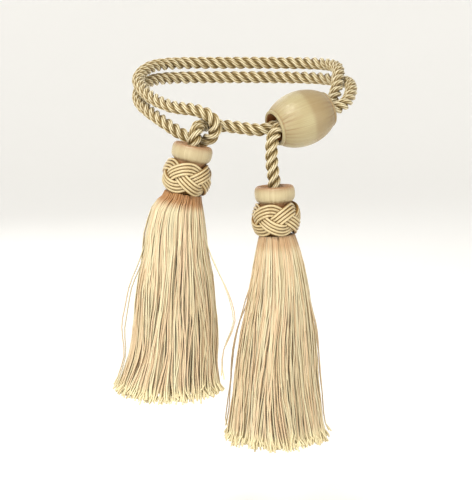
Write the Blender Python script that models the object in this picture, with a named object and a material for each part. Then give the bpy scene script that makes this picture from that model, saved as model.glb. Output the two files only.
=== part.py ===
"""Curtain tieback: one twisted satin rope doubled into a loop, with a tassel at each end.

The rope runs from the left tassel through its own bight, through the bead, round the back, forward
to the bight, round the back again, once more through the bead and down to the right tassel. The
model is in metres with +Z up and the front towards -Y. Its origin is where the back of the loop
bears on the hook that holds it: on the inner face of the rope, midway between its two turns.
"""

from math import atan2, cos, pi, radians, sin, sqrt

import bmesh
import bpy
import numpy as np
from mathutils import Matrix, Vector

MM = 0.001
GAP = 0.3  # mm between pieces that touch

# Rope: three plies laid up right-handed.
ROPE_DIAMETER = 8.8
PLIES = 3
PLY_GROOVE = 1.35  # how deep the grooves between plies are
PLY_SHOULDER = radians(26)  # half the angle of a ply's flat crown
ROPE_PITCH = 18.7  # length of one full turn of a ply
STEPS_PER_PITCH = 7
ROPE_IN_HEAD = 6.6  # how far each end goes down into its tassel

# Bead: a hollow egg covered in thread, with a rolled lip at each mouth.
BEAD_RADIUS = 18.3
BEAD_HALF_LENGTH = 19.5  # to the plane of each mouth
BEAD_BORE = 9.5
BEAD_LIP = 1.15  # radius of the rolled lip
BEAD_MOUTH = (20.8, -92.5, -33.0)
BEAD_FAR_END = (54.2, -75.5, -22.2)
BEAD_SIDES = 24

# Tassel head: a covered mould with a dished top, above a narrower neck.
HEAD_RADIUS = 13.1
HEAD_DRUM = 10.2  # height of the part that shows
HEAD_DISH = 2.6
HEAD_SIDES = 20
NECK_RADIUS = 10.0
NECK_END = 26.5

# Collar: a braided ring of three leads, each lead four cords wide, round the neck.
COLLAR_HEIGHT = 21.4
COLLAR_BARREL = 12.9  # radius under the braid at mid-height
COLLAR_EDGE = 11.2  # the same at the two edges
COLLAR_BIGHTS = 5
COLLAR_LEADS = 3
LEAD_WIDTH = 8.4
LEAD_THICKNESS = 2.6
LEAD_SWING = 6.3  # from the middle of the collar to the middle of a lead at a bight
LEAD_CROSSING = 0.9  # how far a lead rises over the one that it crosses
COLLAR_COLUMNS = 72
COLLAR_ROWS = 11
COLLAR_EDGE_ROWS = 0.55  # how strongly the rows crowd towards the two edges

# Skirt: locks of thread hanging from a bound plug under the collar.
PLUG_BOTTOM = 36.0  # below the top of the head
PLUG_RADIUS = 12.6
OUTER_LOCKS = 36  # of each of the two interleaved outer sets
INNER_LOCKS = 12
BAND_INSIDE = 0.66  # where the outer locks end inwards, as a share of the skirt's half width
HUB = 0.58
LOCK_SHARE = 0.86  # of its own space that a lock fills
SKIRT_DEPTH = 0.84  # depth of the skirt against its width
LOCK_STEPS = (0.04, 0.16, 0.42, 0.72, 1.0)  # where a lock bends, as a share of its length
LOCK_UNEVEN = 4.0  # how much longer or shorter than the skirt a lock may be
STRAY_THREAD = 1.1
STRAY_CLEAR = 1.3  # how far outside the locks a stray thread starts
STRAY_STEPS = (0.04, 0.16, 0.29, 0.42, 0.57, 0.72, 0.86, 1.0)

# The middle of the rope, in order from the left tassel to the right one: x, y, z.
LEFT_TASSEL_TO_BEAD = (
    (-31.8, -108.2, -42.4),
    (-30.9, -107.4, -37.0),
    (-29.6, -101.8, -32.6),
    (-26.4, -92.6, -31.6),
    (-20.4, -87.0, -31.7),
    (-13.0, -85.4, -32.2),
    (-4.0, -87.6, -33.0),
    (4.2, -89.8, -34.0),
    (12.2, -90.4, -34.4),
    (18.6, -88.5, -33.1),
    (24.1, -85.7, -31.3),
    (35.4, -79.9, -27.6),
    (46.5, -74.3, -24.0),
    (52.4, -71.3, -22.1),
)
UPPER_TURN = (
    (57.6, -66.6, -18.6),
    (61.4, -58.0, -11.4),
    (63.8, -44.0, -2.0),
    (63.4, -27.0, 3.2),
    (55.4, -11.0, 4.8),
    (40.0, -0.5, 5.0),
    (20.0, 4.0, 5.0),
    (0.0, 4.8, 5.0),
    (-20.0, 4.0, 5.0),
    (-40.0, -0.5, 5.0),
    (-56.0, -11.0, 4.4),
    (-66.5, -27.0, 1.2),
    (-70.2, -42.0, -4.2),
)
BIGHT = (
    (-67.0, -57.0, -9.6),
    (-60.5, -69.5, -14.6),
    (-52.3, -79.0, -18.0),
    (-43.5, -86.5, -20.2),
    (-34.8, -92.0, -20.8),
    (-27.0, -96.2, -22.4),
    (-20.4, -98.6, -26.2),
    (-17.8, -98.8, -32.4),
    (-20.8, -97.0, -38.8),
    (-27.0, -92.8, -41.2),
    (-33.2, -88.4, -40.2),
    (-39.8, -85.6, -37.6),
    (-47.6, -81.6, -33.0),
    (-56.0, -74.8, -27.8),
    (-63.6, -64.6, -23.0),
    (-69.0, -51.5, -18.4),
)
LOWER_TURN = (
    (-70.0, -38.0, -13.0),
    (-65.5, -24.0, -7.5),
    (-56.0, -10.5, -5.4),
    (-40.0, -0.5, -5.0),
    (-20.0, 4.0, -5.0),
    (0.0, 4.8, -5.0),
    (20.0, 4.0, -5.0),
    (40.0, -0.5, -5.0),
    (57.0, -11.0, -5.4),
    (67.4, -27.0, -6.2),
    (71.4, -44.0, -7.4),
    (71.4, -58.0, -11.8),
    (68.2, -68.6, -17.0),
    (63.0, -75.6, -20.4),
)
BEAD_TO_RIGHT_TASSEL = (
    (56.5, -79.5, -22.1),
    (50.6, -82.5, -24.0),
    (39.6, -88.1, -27.6),
    (28.3, -93.9, -31.3),
    (22.7, -96.7, -33.3),
    (19.2, -99.6, -38.2),
    (18.2, -101.6, -45.0),
    (18.2, -102.0, -54.0),
    (19.3, -102.0, -62.4),
    (20.0, -102.0, -69.5),
)

# Each tassel: where the top of its head is, how far the head leans to the right, how far its braid
# is turned, its skirt's length, the shape of the skirt, and its stray threads. A skirt row holds the drop below the
# plug, how far the middle has moved to the right, and the half width. A stray row holds the
# side that the thread is on, in degrees from the right, counted backwards, how far out it
# bows, where the bow is widest as a share of its length, and that length.
TASSELS = {
    "left": {
        "top": (-31.8, -108.2, -42.4),
        "lean": radians(12),
        "braid_turn": radians(-12),
        "skirt_length": 128.0,
        "skirt": (
            (0.0, 0.0, 12.6),
            (4.0, -1.8, 15.4),
            (11.0, -3.1, 17.7),
            (19.0, -3.9, 19.2),
            (36.0, -4.3, 21.5),
            (52.0, -4.8, 24.4),
            (69.0, -4.9, 26.5),
            (85.0, -5.2, 28.0),
            (102.0, -6.5, 29.4),
            (117.0, -8.6, 33.0),
            (128.0, -9.3, 35.8),
        ),
        "strays": (
            (190.0, 4.0, 0.66, 121.0),
            (-10.0, 8.4, 0.66, 116.0),
            (-50.0, 3.0, 0.70, 122.0),
            (80.0, 3.0, 0.60, 118.0),
        ),
    },
    "right": {
        "top": (20.0, -102.0, -69.5),
        "lean": radians(-3),
        "braid_turn": radians(-35),
        "skirt_length": 133.0,
        "skirt": (
            (0.0, 0.0, 12.6),
            (8.0, 0.6, 14.8),
            (24.0, 1.1, 18.0),
            (41.0, 0.9, 21.2),
            (57.0, 0.2, 23.9),
            (74.0, -0.7, 26.1),
            (91.0, -1.2, 27.8),
            (107.0, -1.0, 30.0),
            (121.0, -0.5, 32.2),
            (133.0, 0.3, 34.4),
        ),
        "strays": (
            (176.0, 2.0, 0.55, 124.0),
            (8.0, 2.0, 0.75, 128.0),
            (-70.0, 3.0, 0.70, 128.0),
            (100.0, 3.0, 0.60, 124.0),
        ),
    },
}

COLOURS = {
    "rope": (0.72, 0.60, 0.40),
    "bead": (0.64, 0.54, 0.33),
    "head": (0.70, 0.58, 0.37),
    "collar": (0.68, 0.54, 0.32),
    "skirt": (0.66, 0.54, 0.35),
}


def clear_scene():
    for old in list(bpy.data.objects):
        bpy.data.objects.remove(old, do_unlink=True)


def satin(name, colour, roughness):
    """A glossy rayon finish."""
    material = bpy.data.materials.new(name)
    material.use_nodes = True
    shader = material.node_tree.nodes["Principled BSDF"]
    shader.inputs["Base Color"].default_value = (*colour, 1.0)
    shader.inputs["Roughness"].default_value = roughness
    shader.inputs["Metallic"].default_value = 0.0
    return material


def add_object(name, bm, material, smooth_below=50):
    """Turns a bmesh that was built in millimetres into a shaded object in metres."""
    bmesh.ops.scale(bm, vec=(MM, MM, MM), verts=bm.verts)
    bmesh.ops.recalc_face_normals(bm, faces=bm.faces)
    mesh = bpy.data.meshes.new(name)
    bm.to_mesh(mesh)
    bm.free()
    mesh.shade_smooth()
    mesh.set_sharp_from_angle(angle=radians(smooth_below))
    mesh.materials.append(material)
    made = bpy.data.objects.new(name, mesh)
    bpy.context.scene.collection.objects.link(made)
    return made


def smooth_through(knots, rows, at):
    """A natural cubic spline through the rows at the knots, read at the given places."""
    knots, rows, at = (np.asarray(values, float) for values in (knots, rows, at))
    count, gaps = len(knots), np.diff(knots)
    slopes = np.diff(rows, axis=0) / gaps[:, None]
    system, wanted = np.eye(count), np.zeros_like(rows)
    for i in range(1, count - 1):
        system[i, i - 1 : i + 2] = gaps[i - 1], 2 * (gaps[i - 1] + gaps[i]), gaps[i]
        wanted[i] = 6 * (slopes[i] - slopes[i - 1])
    bend = np.linalg.solve(system, wanted)
    left = np.clip(np.searchsorted(knots, at, side="right") - 1, 0, count - 2)
    gap = gaps[left][:, None]
    before = (at - knots[left])[:, None]
    after = gap - before
    return (
        (bend[left] * after**3 + bend[left + 1] * before**3) / (6 * gap)
        + (rows[left] / gap - bend[left] * gap / 6) * after
        + (rows[left + 1] / gap - bend[left + 1] * gap / 6) * before
    )


def evenly_along(points, step):
    """Points of the smooth curve through the given ones, close to one step apart."""
    points = np.asarray(points, float)
    knots = np.concatenate([[0], np.cumsum(np.linalg.norm(np.diff(points, axis=0), axis=1))])
    fine = smooth_through(knots, points, np.linspace(0, knots[-1], 8000))
    run = np.concatenate([[0], np.cumsum(np.linalg.norm(np.diff(fine, axis=0), axis=1))])
    places = np.linspace(0, run[-1], round(run[-1] / step) + 1)
    return np.stack([np.interp(places, run, fine[:, axis]) for axis in range(3)], axis=1), places


def frames_along(points):
    """The tangent and two normals at each point, carried along without twisting."""
    tangents = np.gradient(points, axis=0)
    tangents /= np.linalg.norm(tangents, axis=1)[:, None]
    normal = np.cross(tangents[0], (0.0, 1.0, 0.0))
    normals = []
    for tangent in tangents:
        normal = normal - tangent * (normal @ tangent)
        normal /= np.linalg.norm(normal)
        normals.append(normal)
    normals = np.array(normals)
    return tangents, normals, np.cross(tangents, normals)


def head_axis(tassel):
    """The upward direction of a tassel's head."""
    return np.array((sin(tassel["lean"]), 0.0, cos(tassel["lean"])))


def rope_route():
    """The rope's own points, with both ends carried down into the heads."""
    start, end = (
        np.array(TASSELS[side]["top"]) - ROPE_IN_HEAD * head_axis(TASSELS[side])
        for side in ("left", "right")
    )
    between = LEFT_TASSEL_TO_BEAD + UPPER_TURN + BIGHT + LOWER_TURN + BEAD_TO_RIGHT_TASSEL
    return [tuple(start), *between, tuple(end)]


def ply_outline():
    """Angle and radius of the rope's section: a flat crown and a groove for each ply."""
    crown = ROPE_DIAMETER / 2
    outline = []
    for ply in range(PLIES):
        middle = 2 * pi * ply / PLIES
        outline += [(middle - PLY_SHOULDER, crown), (middle + PLY_SHOULDER, crown)]
        outline.append((middle + pi / PLIES, crown - PLY_GROOVE))
    return outline


def make_rope(material):
    """The section is turned as it is swept, and each face is split along its shorter diagonal."""
    points, places = evenly_along(rope_route(), ROPE_PITCH / STEPS_PER_PITCH)
    _, normals, binormals = frames_along(points)
    outline = ply_outline()
    bm = bmesh.new()
    rings = []
    for point, normal, binormal, place in zip(points, normals, binormals, places):
        turn = 2 * pi * place / ROPE_PITCH
        rings.append(
            [
                bm.verts.new(point + radius * (cos(a + turn) * normal + sin(a + turn) * binormal))
                for a, radius in outline
            ]
        )
    corners = len(outline)
    for low, high in zip(rings, rings[1:]):
        for i in range(corners):
            after = (i + 1) % corners
            bm.faces.new((low[i], low[after], high[i]))
            bm.faces.new((low[after], high[after], high[i]))
    bm.faces.new(list(reversed(rings[0])))
    bm.faces.new(rings[-1])
    return add_object("rope", bm, material, 75)


def turned(profile, sides):
    """A bmesh of the closed or axis-to-axis profile of (radius, height), turned about Z."""
    bm = bmesh.new()
    on_axis = profile[0][0] == 0 and profile[-1][0] == 0
    verts = [bm.verts.new((radius, 0.0, height)) for radius, height in profile]
    pairs = list(zip(verts, verts[1:]))
    if not on_axis:
        pairs.append((verts[-1], verts[0]))
    edges = [bm.edges.new(pair) for pair in pairs]
    bmesh.ops.spin(
        bm, geom=edges + verts, axis=(0, 0, 1), cent=(0, 0, 0), angle=2 * pi, steps=sides
    )
    bmesh.ops.remove_doubles(bm, verts=bm.verts, dist=0.001)
    return bm


def make_bead(material):
    """The mouth end is at the bottom of the local Z axis."""
    lip_centre = BEAD_BORE + BEAD_LIP
    shell_end = lip_centre + 0.6
    reach = BEAD_HALF_LENGTH / sqrt(1 - (shell_end / BEAD_RADIUS) ** 2)
    profile = []
    for i in range(10):
        height = (BEAD_HALF_LENGTH - BEAD_LIP / 2) * -cos(pi * i / 9)
        profile.append((BEAD_RADIUS * sqrt(1 - (height / reach) ** 2), height))
    for end in (1, -1):
        quarter = [pi * i / 4 for i in range(5)]
        lip = [
            (lip_centre + BEAD_LIP * cos(a), end * (BEAD_HALF_LENGTH + BEAD_LIP * sin(a)))
            for a in quarter
        ]
        profile += lip if end == 1 else reversed(lip)
    bead = add_object("bead", turned(profile, BEAD_SIDES), material)
    mouth, far_end = Vector(BEAD_MOUTH), Vector(BEAD_FAR_END)
    bead.location = (mouth + far_end) * MM / 2
    bead.rotation_mode = "QUATERNION"
    bead.rotation_quaternion = (far_end - mouth).to_track_quat("Z", "Y")
    return bead


def make_head(side, material):
    """Covered drum, dished where the rope goes in, and the neck that the collar grips."""
    socket = ROPE_DIAMETER / 2 + GAP + 0.1
    floor = -(ROPE_IN_HEAD + GAP)
    profile = (
        (0.0, floor),
        (socket, floor),
        (socket, -HEAD_DISH),
        (socket + 2.2, -HEAD_DISH * 0.8),
        (HEAD_RADIUS - 3.8, -0.6),
        (HEAD_RADIUS - 2.5, 0.0),
        (HEAD_RADIUS - 1.1, -0.6),
        (HEAD_RADIUS - 0.2, -2.4),
        (HEAD_RADIUS, -HEAD_DRUM / 2),
        (HEAD_RADIUS - 0.5, -HEAD_DRUM + 2.4),
        (HEAD_RADIUS - 1.6, -HEAD_DRUM + 0.6),
        (NECK_RADIUS, -HEAD_DRUM),
        (NECK_RADIUS, -NECK_END),
        (0.0, -NECK_END),
    )
    return add_object(f"head_{side}", turned(profile, HEAD_SIDES), material)


def braid_height(angle, height):
    """How far the braid stands over the barrel, and 0 where no lead passes."""
    best = 0.0
    run = COLLAR_BIGHTS / COLLAR_LEADS
    for lead in range(COLLAR_LEADS):
        phase = run * angle + 2 * pi * lead * run
        slope = -LEAD_SWING * run * sin(phase) / COLLAR_BARREL
        across = (height - LEAD_SWING * cos(phase)) / sqrt(1 + slope * slope)
        share = abs(across) / (LEAD_WIDTH / 2)
        if share < 1:
            crown = LEAD_THICKNESS * sqrt(1 - share**3)
            best = max(best, crown - LEAD_CROSSING * sin(2 * phase))
    return best


def make_collar(side, material):
    """A ring whose outer face carries the over-and-under leads in its points."""
    inner = NECK_RADIUS + GAP
    middle = -(HEAD_DRUM + GAP + COLLAR_HEIGHT / 2)
    bm = bmesh.new()
    columns = []
    for column in range(COLLAR_COLUMNS):
        angle = 2 * pi * column / COLLAR_COLUMNS
        loop = []
        for row in range(COLLAR_ROWS):
            even = row / (COLLAR_ROWS - 1)
            crowded = -COLLAR_EDGE_ROWS * cos(pi * even)
            share = crowded + (1 - COLLAR_EDGE_ROWS) * (2 * even - 1)
            barrel = COLLAR_EDGE + (COLLAR_BARREL - COLLAR_EDGE) * sqrt(1 - share * share)
            height = share * COLLAR_HEIGHT / 2
            radius = barrel + braid_height(angle, height)
            loop.append((radius, middle + height))
        loop.append((inner, middle + COLLAR_HEIGHT / 2))
        loop.append((inner, middle - COLLAR_HEIGHT / 2))
        columns.append(
            [bm.verts.new((radius * cos(angle), radius * sin(angle), z)) for radius, z in loop]
        )
    for here, after in zip(columns, columns[1:] + columns[:1]):
        for i in range(len(here)):
            j = (i + 1) % len(here)
            bm.faces.new((here[i], after[i], after[j], here[j]))
    return add_object(f"collar_{side}", bm, material)


def ripple(angle, drop):
    """Where a place on the skirt goes round and out, so that its locks wave together."""
    grown = min(1.0, drop / 60.0)
    turned_by = 0.07 * sin(3 * angle + drop / 31.0) + 0.03 * sin(8 * angle - drop / 23.0)
    pushed_by = 0.020 * sin(5 * angle + drop / 40.0) + 0.014 * sin(11 * angle + drop / 27.0)
    return angle + grown * turned_by, 1 + grown * pushed_by


class SkirtShape:
    """Places points of a unit disc at a drop below the plug."""

    def __init__(self, tassel):
        rows = np.array(tassel["skirt"])
        self.drops, self.values = rows[:, 0], rows[:, 1:]
        self.lean = tassel["lean"]

    def place(self, x, y, drop):
        below = max(drop, 0.0)
        shift, half_width = smooth_through(self.drops, self.values, [below])[0]
        share, angle = sqrt(x * x + y * y), atan2(y, x)
        angle, stretch = ripple(angle, below)
        share *= stretch
        wide = half_width * share * cos(angle)
        deep = half_width * share * sin(angle) * (1 + (SKIRT_DEPTH - 1) * min(1.0, below / 30.0))
        lean = self.lean * max(0.0, 1 - below / 25.0)
        leaning = Matrix.Rotation(lean, 3, "Y") @ Vector((wide, deep, below - drop))
        return leaning + Vector((shift, 0.0, -below))


def uneven(number):
    """A share from -1 to 1 that jumps from each lock to the next."""
    return 2 * ((number * 0.618034 + 0.37 * sin(number * 2.4)) % 1.0) - 1


def hang_lock(bm, face, corners, shape, length):
    """Draws a lock down from a face of the plug, through each of its bends to its cut end."""
    middle = sum(corners, Vector((0, 0))) / len(corners)
    for step in LOCK_STEPS:
        face = bmesh.ops.extrude_discrete_faces(bm, faces=[face])["faces"][0]
        for vert, corner in zip(face.verts, corners):
            held = middle + (corner - middle) * LOCK_SHARE
            vert.co = shape.place(held.x, held.y, length * step)


def hang_stray(bm, face, shape, around, bow, widest, length):
    """Draws one stray thread out of the side of the plug and down outside the locks."""
    half = STRAY_THREAD / 2
    for step in STRAY_STEPS:
        drop = length * step
        half_width = smooth_through(shape.drops, shape.values, [drop])[0][1]
        rise = step / widest if step < widest else (1 - step) / (1 - widest)
        middle = half_width + STRAY_CLEAR + bow * sin(pi / 2 * rise) ** 3
        face = bmesh.ops.extrude_discrete_faces(bm, faces=[face])["faces"][0]
        for vert, (outward, sideways) in zip(face.verts, ((-1, -1), (-1, 1), (1, 1), (1, -1))):
            share = (middle + outward * half) / half_width
            angle = around + sideways * half / middle
            vert.co = shape.place(share * cos(angle), share * sin(angle), drop)


def on_circle(share, angle):
    return Vector((share * cos(angle), share * sin(angle)))


def ring_of(bm, shape, share, drop, count, offset=0.0):
    """A level ring of points on the plug, and the angle of each."""
    angles = [2 * pi * (i + offset) / count for i in range(count)]
    return [bm.verts.new(shape.place(*on_circle(share, angle), drop)) for angle in angles], angles


def plug_sides(bm, shape):
    """The bound plug from its top inside the collar to its rim. Returns the rim and the last faces."""
    inside = (NECK_RADIUS - 0.2) / PLUG_RADIUS
    collar_bottom = HEAD_DRUM + COLLAR_HEIGHT + 2 * GAP
    levels = (
        (inside, NECK_END + GAP - PLUG_BOTTOM),
        (inside, collar_bottom - PLUG_BOTTOM),
        (0.93, -2.6),
        (1.0, 0.0),
    )
    rings = [ring_of(bm, shape, share, drop, OUTER_LOCKS)[0] for share, drop in levels]
    bm.faces.new(rings[0])
    for high, low in zip(rings, rings[1:]):
        faces = []
        for i in range(OUTER_LOCKS):
            j = (i + 1) % OUTER_LOCKS
            faces.append(bm.faces.new((low[i], low[j], high[j], high[i])))
    return rings[-1], faces


def root_faces(bm, shape, outer):
    """The plug's underside: each triangle that a lock hangs from, with its corners on the disc."""
    step = 2 * pi / OUTER_LOCKS
    inner, inner_angles = ring_of(bm, shape, BAND_INSIDE, 0.0, OUTER_LOCKS, 0.5)
    hub, hub_angles = ring_of(bm, shape, HUB, 0.0, INNER_LOCKS, 0.5)
    centre = bm.verts.new(shape.place(0, 0, 0))
    roots = []
    for i in range(OUTER_LOCKS):
        j = (i + 1) % OUTER_LOCKS
        angle = inner_angles[i]
        before, after = on_circle(1, angle - step / 2), on_circle(1, angle + step / 2)
        here, following = on_circle(BAND_INSIDE, angle), on_circle(BAND_INSIDE, angle + step)
        roots.append((bm.faces.new((outer[i], inner[i], outer[j])), (before, here, after)))
        roots.append((bm.faces.new((inner[i], inner[j], outer[j])), (here, following, after)))
    fan = OUTER_LOCKS // INNER_LOCKS
    for k in range(INNER_LOCKS):
        here, following = hub[k], hub[(k + 1) % INNER_LOCKS]
        across = [inner[(k * fan + i) % OUTER_LOCKS] for i in range(fan + 1)]
        for first, second in zip(across, across[1:]):
            bm.faces.new((first, here, second))
        bm.faces.new((across[-1], here, following))
        face = bm.faces.new((here, centre, following))
        near = on_circle(HUB, hub_angles[k])
        far = on_circle(HUB, hub_angles[k] + 2 * pi / INNER_LOCKS)
        roots.append((face, (near, Vector((0, 0)), far)))
    return roots


def make_skirt(side, tassel, material):
    shape = SkirtShape(tassel)
    bm = bmesh.new()
    rim, rim_faces = plug_sides(bm, shape)
    for number, (face, corners) in enumerate(root_faces(bm, shape, rim)):
        length = tassel["skirt_length"] + LOCK_UNEVEN * uneven(number)
        hang_lock(bm, face, corners, shape, length)
    for around, bow, widest, length in tassel["strays"]:
        face = rim_faces[int(around % 360 / 360 * OUTER_LOCKS)]
        hang_stray(bm, face, shape, radians(around), bow, widest, length)
    return add_object(f"skirt_{side}", bm, material, 35)


def make_tassel(side, materials):
    """An empty at the top of the head carries the leaning pieces; the skirt hangs plumb."""
    tassel = TASSELS[side]
    top = bpy.data.objects.new(f"tassel_{side}", None)
    bpy.context.scene.collection.objects.link(top)
    top.location = Vector(tassel["top"]) * MM
    top.rotation_euler = (0.0, tassel["lean"], 0.0)
    make_head(side, materials["head"]).parent = top
    collar = make_collar(side, materials["collar"])
    collar.parent = top
    collar.rotation_euler = (0.0, 0.0, tassel["braid_turn"])
    skirt = make_skirt(side, tassel, materials["skirt"])
    skirt.location = Vector(np.array(tassel["top"]) - PLUG_BOTTOM * head_axis(tassel)) * MM


def main():
    clear_scene()
    materials = {name: satin(name, colour, 0.4) for name, colour in COLOURS.items()}
    make_rope(materials["rope"])
    make_bead(materials["bead"])
    for side in TASSELS:
        make_tassel(side, materials)


main()
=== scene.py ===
"""Curtain tieback with two tassels: the yarns, threads and braids over its solids.

A three-ply satin rope is doubled into a loop, through a thread-covered bead and through its own
bight, and ends in a tassel at each side. Everything is in metres with +Z up and the front
towards -Y. Lists of places are in millimetres, times MM.
"""

import bmesh
import bpy
import numpy as np
from bpy.props import FloatProperty, FloatVectorProperty, IntProperty, PointerProperty
from mathutils import Matrix, Vector
from math import atan, cos, pi, radians, sin, sqrt, tan


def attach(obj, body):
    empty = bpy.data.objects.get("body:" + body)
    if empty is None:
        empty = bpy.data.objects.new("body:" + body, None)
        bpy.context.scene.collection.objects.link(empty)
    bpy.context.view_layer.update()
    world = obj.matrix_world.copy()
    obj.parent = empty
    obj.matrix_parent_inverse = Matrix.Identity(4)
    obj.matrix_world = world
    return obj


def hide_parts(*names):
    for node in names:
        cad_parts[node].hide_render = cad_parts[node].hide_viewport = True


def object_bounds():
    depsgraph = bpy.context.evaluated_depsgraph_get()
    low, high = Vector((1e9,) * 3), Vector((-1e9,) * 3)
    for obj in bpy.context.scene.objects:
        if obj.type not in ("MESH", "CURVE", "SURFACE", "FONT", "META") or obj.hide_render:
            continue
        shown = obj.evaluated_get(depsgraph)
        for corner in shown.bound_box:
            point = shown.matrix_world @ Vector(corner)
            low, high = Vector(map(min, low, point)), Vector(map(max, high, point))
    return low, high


bl_info = {
    "name": "Curtain tieback with tassels",
    "version": (1, 0, 0),
    "blender": (4, 5, 0),
    "location": "3D View > Sidebar > Tieback",
    "description": "Builds a twisted rope tieback with a covered bead and two tassels",
    "category": "Add Mesh",
}

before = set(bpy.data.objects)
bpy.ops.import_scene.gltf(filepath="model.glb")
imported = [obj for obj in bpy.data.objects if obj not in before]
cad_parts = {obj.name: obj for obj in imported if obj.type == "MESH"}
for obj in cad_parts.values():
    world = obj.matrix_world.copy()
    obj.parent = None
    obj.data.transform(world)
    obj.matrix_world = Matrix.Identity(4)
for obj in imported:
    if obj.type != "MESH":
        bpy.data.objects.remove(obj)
CAD_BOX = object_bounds()

MM = 0.001

# The middle of the rope in millimetres, in order from the left tassel to the right one.
LEFT_TASSEL_TO_BEAD = (
    (-31.8, -108.2, -42.4),
    (-30.9, -107.4, -37.0),
    (-29.6, -101.8, -32.6),
    (-26.4, -92.6, -31.6),
    (-20.4, -87.0, -31.7),
    (-13.0, -85.4, -32.2),
    (-4.0, -87.6, -33.0),
    (4.2, -89.8, -34.0),
    (12.2, -90.4, -34.4),
    (18.6, -88.5, -33.1),
    (24.1, -85.7, -31.3),
    (35.4, -79.9, -27.6),
    (46.5, -74.3, -24.0),
    (52.4, -71.3, -22.1),
)
UPPER_TURN = (
    (57.6, -66.6, -18.6),
    (61.4, -58.0, -11.4),
    (63.8, -44.0, -2.0),
    (63.4, -27.0, 3.2),
    (55.4, -11.0, 4.8),
    (40.0, -0.5, 5.0),
    (20.0, 4.0, 5.0),
    (0.0, 4.8, 5.0),
    (-20.0, 4.0, 5.0),
    (-40.0, -0.5, 5.0),
    (-56.0, -11.0, 4.4),
    (-66.5, -27.0, 1.2),
    (-70.2, -42.0, -4.2),
)
BIGHT = (
    (-67.0, -57.0, -9.6),
    (-60.5, -69.5, -14.6),
    (-52.3, -79.0, -18.0),
    (-43.5, -86.5, -20.2),
    (-34.8, -92.0, -20.8),
    (-27.0, -96.2, -22.4),
    (-20.4, -98.6, -26.2),
    (-17.8, -98.8, -32.4),
    (-20.8, -97.0, -38.8),
    (-27.0, -92.8, -41.2),
    (-33.2, -88.4, -40.2),
    (-39.8, -85.6, -37.6),
    (-47.6, -81.6, -33.0),
    (-56.0, -74.8, -27.8),
    (-63.6, -64.6, -23.0),
    (-69.0, -51.5, -18.4),
)
LOWER_TURN = (
    (-70.0, -38.0, -13.0),
    (-65.5, -24.0, -7.5),
    (-56.0, -10.5, -5.4),
    (-40.0, -0.5, -5.0),
    (-20.0, 4.0, -5.0),
    (0.0, 4.8, -5.0),
    (20.0, 4.0, -5.0),
    (40.0, -0.5, -5.0),
    (57.0, -11.0, -5.4),
    (67.4, -27.0, -6.2),
    (71.4, -44.0, -7.4),
    (71.4, -58.0, -11.8),
    (68.2, -68.6, -17.0),
    (63.0, -75.6, -20.4),
)
BEAD_TO_RIGHT_TASSEL = (
    (56.5, -79.5, -22.1),
    (50.6, -82.5, -24.0),
    (39.6, -88.1, -27.6),
    (28.3, -93.9, -31.3),
    (22.7, -96.7, -33.3),
    (19.2, -99.6, -38.2),
    (18.2, -101.6, -45.0),
    (18.2, -102.0, -54.0),
    (19.3, -102.0, -62.4),
    (20.0, -102.0, -69.5),
)
ROPE_IN_HEAD = 6.6  # how far each end goes down into its tassel
ROPE_STEP = 1.25  # between the points that the rope is laid along

BEAD_MOUTH = (20.8, -92.5, -33.0)
BEAD_FAR_END = (54.2, -75.5, -22.2)
BEAD_BORE = 9.5
BEAD_LIP = 1.15
BEAD_HALF_LENGTH = 19.5
BEAD_REFLECTION_BAND = (0.0415, 0.006)  # the ring of painted dark reflection, with painted shade beyond it: place along the threads and half width, in metres

# Each tassel, in millimetres: the top of its head, how far the head leans to the right, how far
# its braid is turned, the skirt's length, its shape as rows of drop below the plug, shift of its
# middle to the right and half width, and its stray threads as rows of the side in degrees from the
# right counted backwards, how far out it bows, where that is widest as a share of its length, and
# that length.
TASSELS = {
    "left": {
        "top": (-31.8, -108.2, -42.4),
        "lean": radians(12),
        "braid_turn": radians(-12),
        "skirt_length": 128.0,
        "skirt": (
            (0.0, 0.0, 12.6),
            (4.0, -1.8, 15.4),
            (11.0, -3.1, 17.7),
            (19.0, -3.9, 19.2),
            (36.0, -4.3, 21.5),
            (52.0, -4.8, 24.4),
            (69.0, -4.9, 26.5),
            (85.0, -5.2, 28.0),
            (102.0, -6.5, 29.4),
            (117.0, -8.6, 33.0),
            (128.0, -9.3, 35.8),
        ),
        "strays": (
            (190.0, 4.0, 0.66, 121.0),
            (-10.0, 8.4, 0.66, 116.0),
            (-50.0, 3.0, 0.70, 122.0),
            (80.0, 3.0, 0.60, 118.0),
        ),
    },
    "right": {
        "top": (20.0, -102.0, -69.5),
        "lean": radians(-3),
        "braid_turn": radians(-35),
        "skirt_length": 133.0,
        "skirt": (
            (0.0, 0.0, 12.6),
            (8.0, 0.6, 14.8),
            (24.0, 1.1, 18.0),
            (41.0, 0.9, 21.2),
            (57.0, 0.2, 23.9),
            (74.0, -0.7, 26.1),
            (91.0, -1.2, 27.8),
            (107.0, -1.0, 30.0),
            (121.0, -0.5, 32.2),
            (133.0, 0.3, 34.4),
        ),
        "strays": (
            (176.0, 2.0, 0.55, 124.0),
            (8.0, 2.0, 0.75, 128.0),
            (-70.0, 3.0, 0.70, 128.0),
            (100.0, 3.0, 0.60, 124.0),
        ),
    },
}
PLUG_BOTTOM = 36.0  # below the top of the head
SKIRT_DEPTH = 0.84  # depth of the skirt against its width
ROOT_SHADE = {"left": 0.85, "right": 0.45}  # how much painted shade darkens the threads under each collar


def linear(red, green, blue):
    """A colour given on the 0 to 255 scale, as the linear values that Blender keeps."""
    return tuple(((c / 255 + 0.055) / 1.055) ** 2.4 for c in (red, green, blue))


def length_setting(name, description, default_mm, smallest_mm=0.05, largest_mm=500.0):
    return FloatProperty(
        name=name,
        description=description,
        default=default_mm * MM,
        min=smallest_mm * MM,
        max=largest_mm * MM,
        unit="LENGTH",
        precision=5,
    )


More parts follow.
